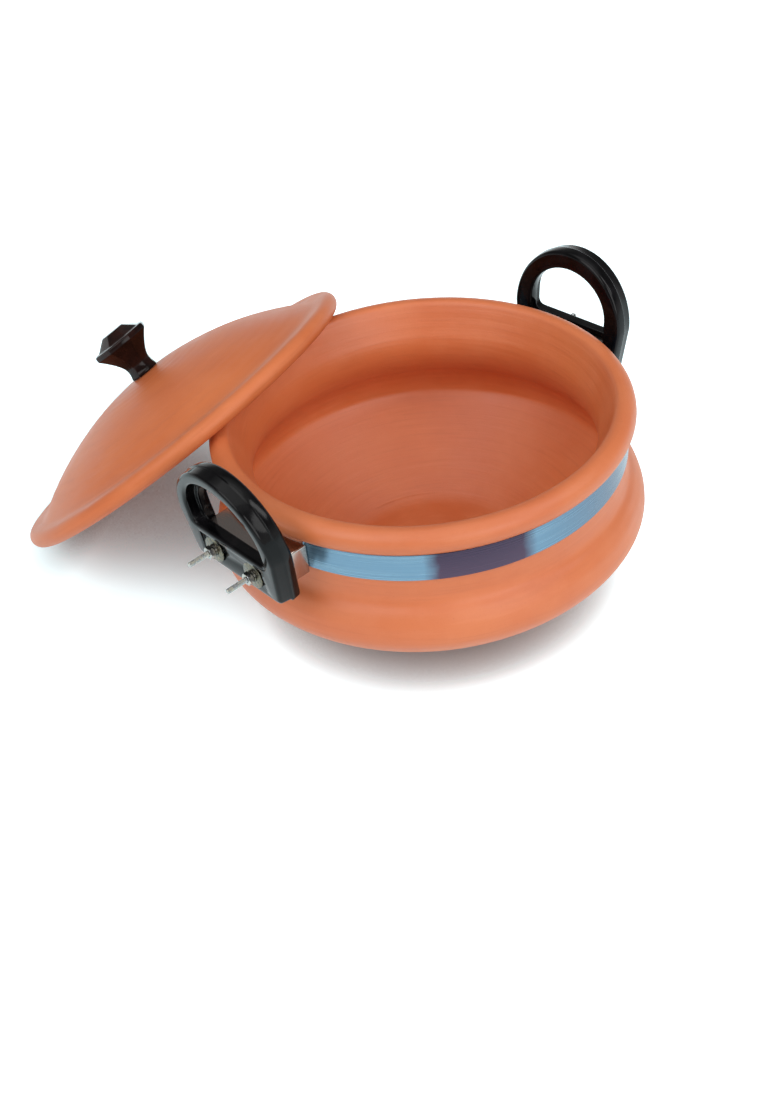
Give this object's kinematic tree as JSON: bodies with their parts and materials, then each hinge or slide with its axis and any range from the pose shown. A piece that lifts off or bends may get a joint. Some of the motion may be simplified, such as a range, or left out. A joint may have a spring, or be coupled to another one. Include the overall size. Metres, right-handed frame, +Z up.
{
  "type": "clay handi",
  "caption": "Wide clay cooking pot with a domed clay lid leaning on its rim, a steel neck band and black D-shaped handles bolted to it.",
  "frame": {"origin": "middle of the pot's flat base, where it stands", "axes": "+Z up along the pot's axis, +X towards the far handle's middle, +Y to the side where the lid leans"},
  "size_m": [0.3394, 0.4047, 0.1615],
  "materials": {
    "clay": "matte unglazed terracotta",
    "steel": "polished stainless sheet",
    "zinc": "zinc-plated",
    "bakelite": "moulded, glossy",
    "brown_bakelite": "moulded, glossy"
  },
  "bodies": {
    "pot_body": {"pot": "clay", "band_front": "steel", "band_back": "steel", "bracket_far": "steel", "bracket_near": "steel", "handle_far": "bakelite", "handle_near": "bakelite", "bolt_far_left": "zinc", "bolt_far_right": "zinc", "bolt_near_left": "zinc", "bolt_near_right": "zinc", "washer_far_left": "zinc", "washer_far_right": "zinc", "washer_near_left": "zinc", "washer_near_right": "zinc", "spring_washer_far_left": "zinc", "spring_washer_far_right": "zinc", "spring_washer_near_left": "zinc", "spring_washer_near_right": "zinc", "nut_far_left": "zinc", "nut_far_right": "zinc", "nut_near_left": "zinc", "nut_near_right": "zinc"},
    "lid_body": {"lid": "clay", "knob": "brown_bakelite", "knob_screw": "zinc", "knob_washer": "zinc"}
  },
  "joints": [
    {"name": "lid_lift", "type": "slide", "parent": "pot_body", "child": "lid_body", "axis": [-0.1742, 0.5698, 0.8031], "range_m": [0, 0.2]}
  ]
}
